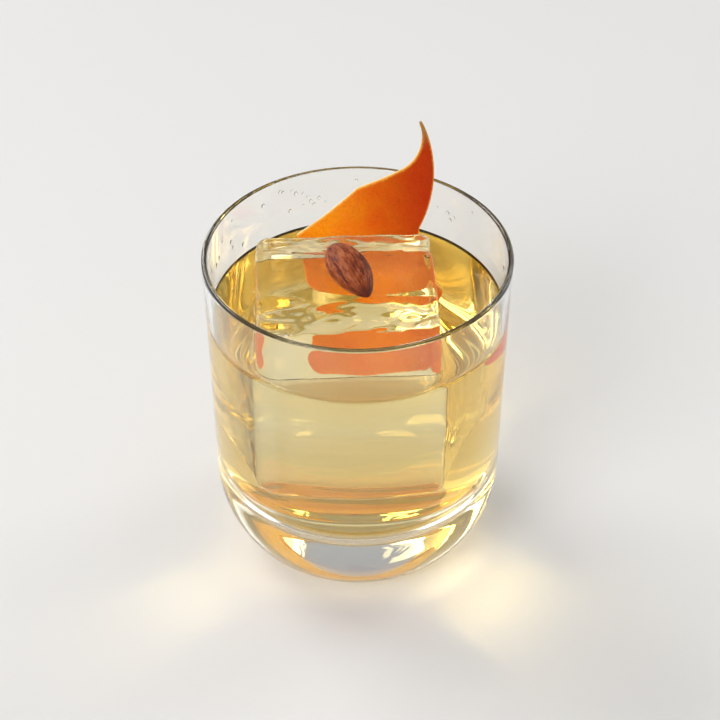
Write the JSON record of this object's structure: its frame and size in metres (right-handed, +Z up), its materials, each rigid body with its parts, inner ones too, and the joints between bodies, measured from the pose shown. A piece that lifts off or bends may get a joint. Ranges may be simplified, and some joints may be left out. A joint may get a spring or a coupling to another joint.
{
  "type": "tequila old fashioned in its glass",
  "caption": "Heavy-based tumbler with a pale golden drink, one large clear ice block, a whole almond on the ice and a pointed orange peel standing behind it.",
  "frame": {"origin": "centre of the glass's flat foot, on the surface it stands on", "axes": "+Z up along the glass's axis; -Y is the near side, that the pointed peel stands behind the ice from; +X to the drinker's right"},
  "size_m": [0.088, 0.088, 0.1169],
  "materials": {
    "glass": "clear, polished",
    "drink": "clear pale gold liquid",
    "ice": "clear, softly melted",
    "almond_skin": "dry wrinkled brown skin",
    "peel": "pored orange zest with pale pith"
  },
  "bodies": {
    "root": {"glass": "glass", "drink": "drink", "ice_block": "ice", "almond": "almond_skin", "orange_peel": "peel"}
  },
  "joints": []
}
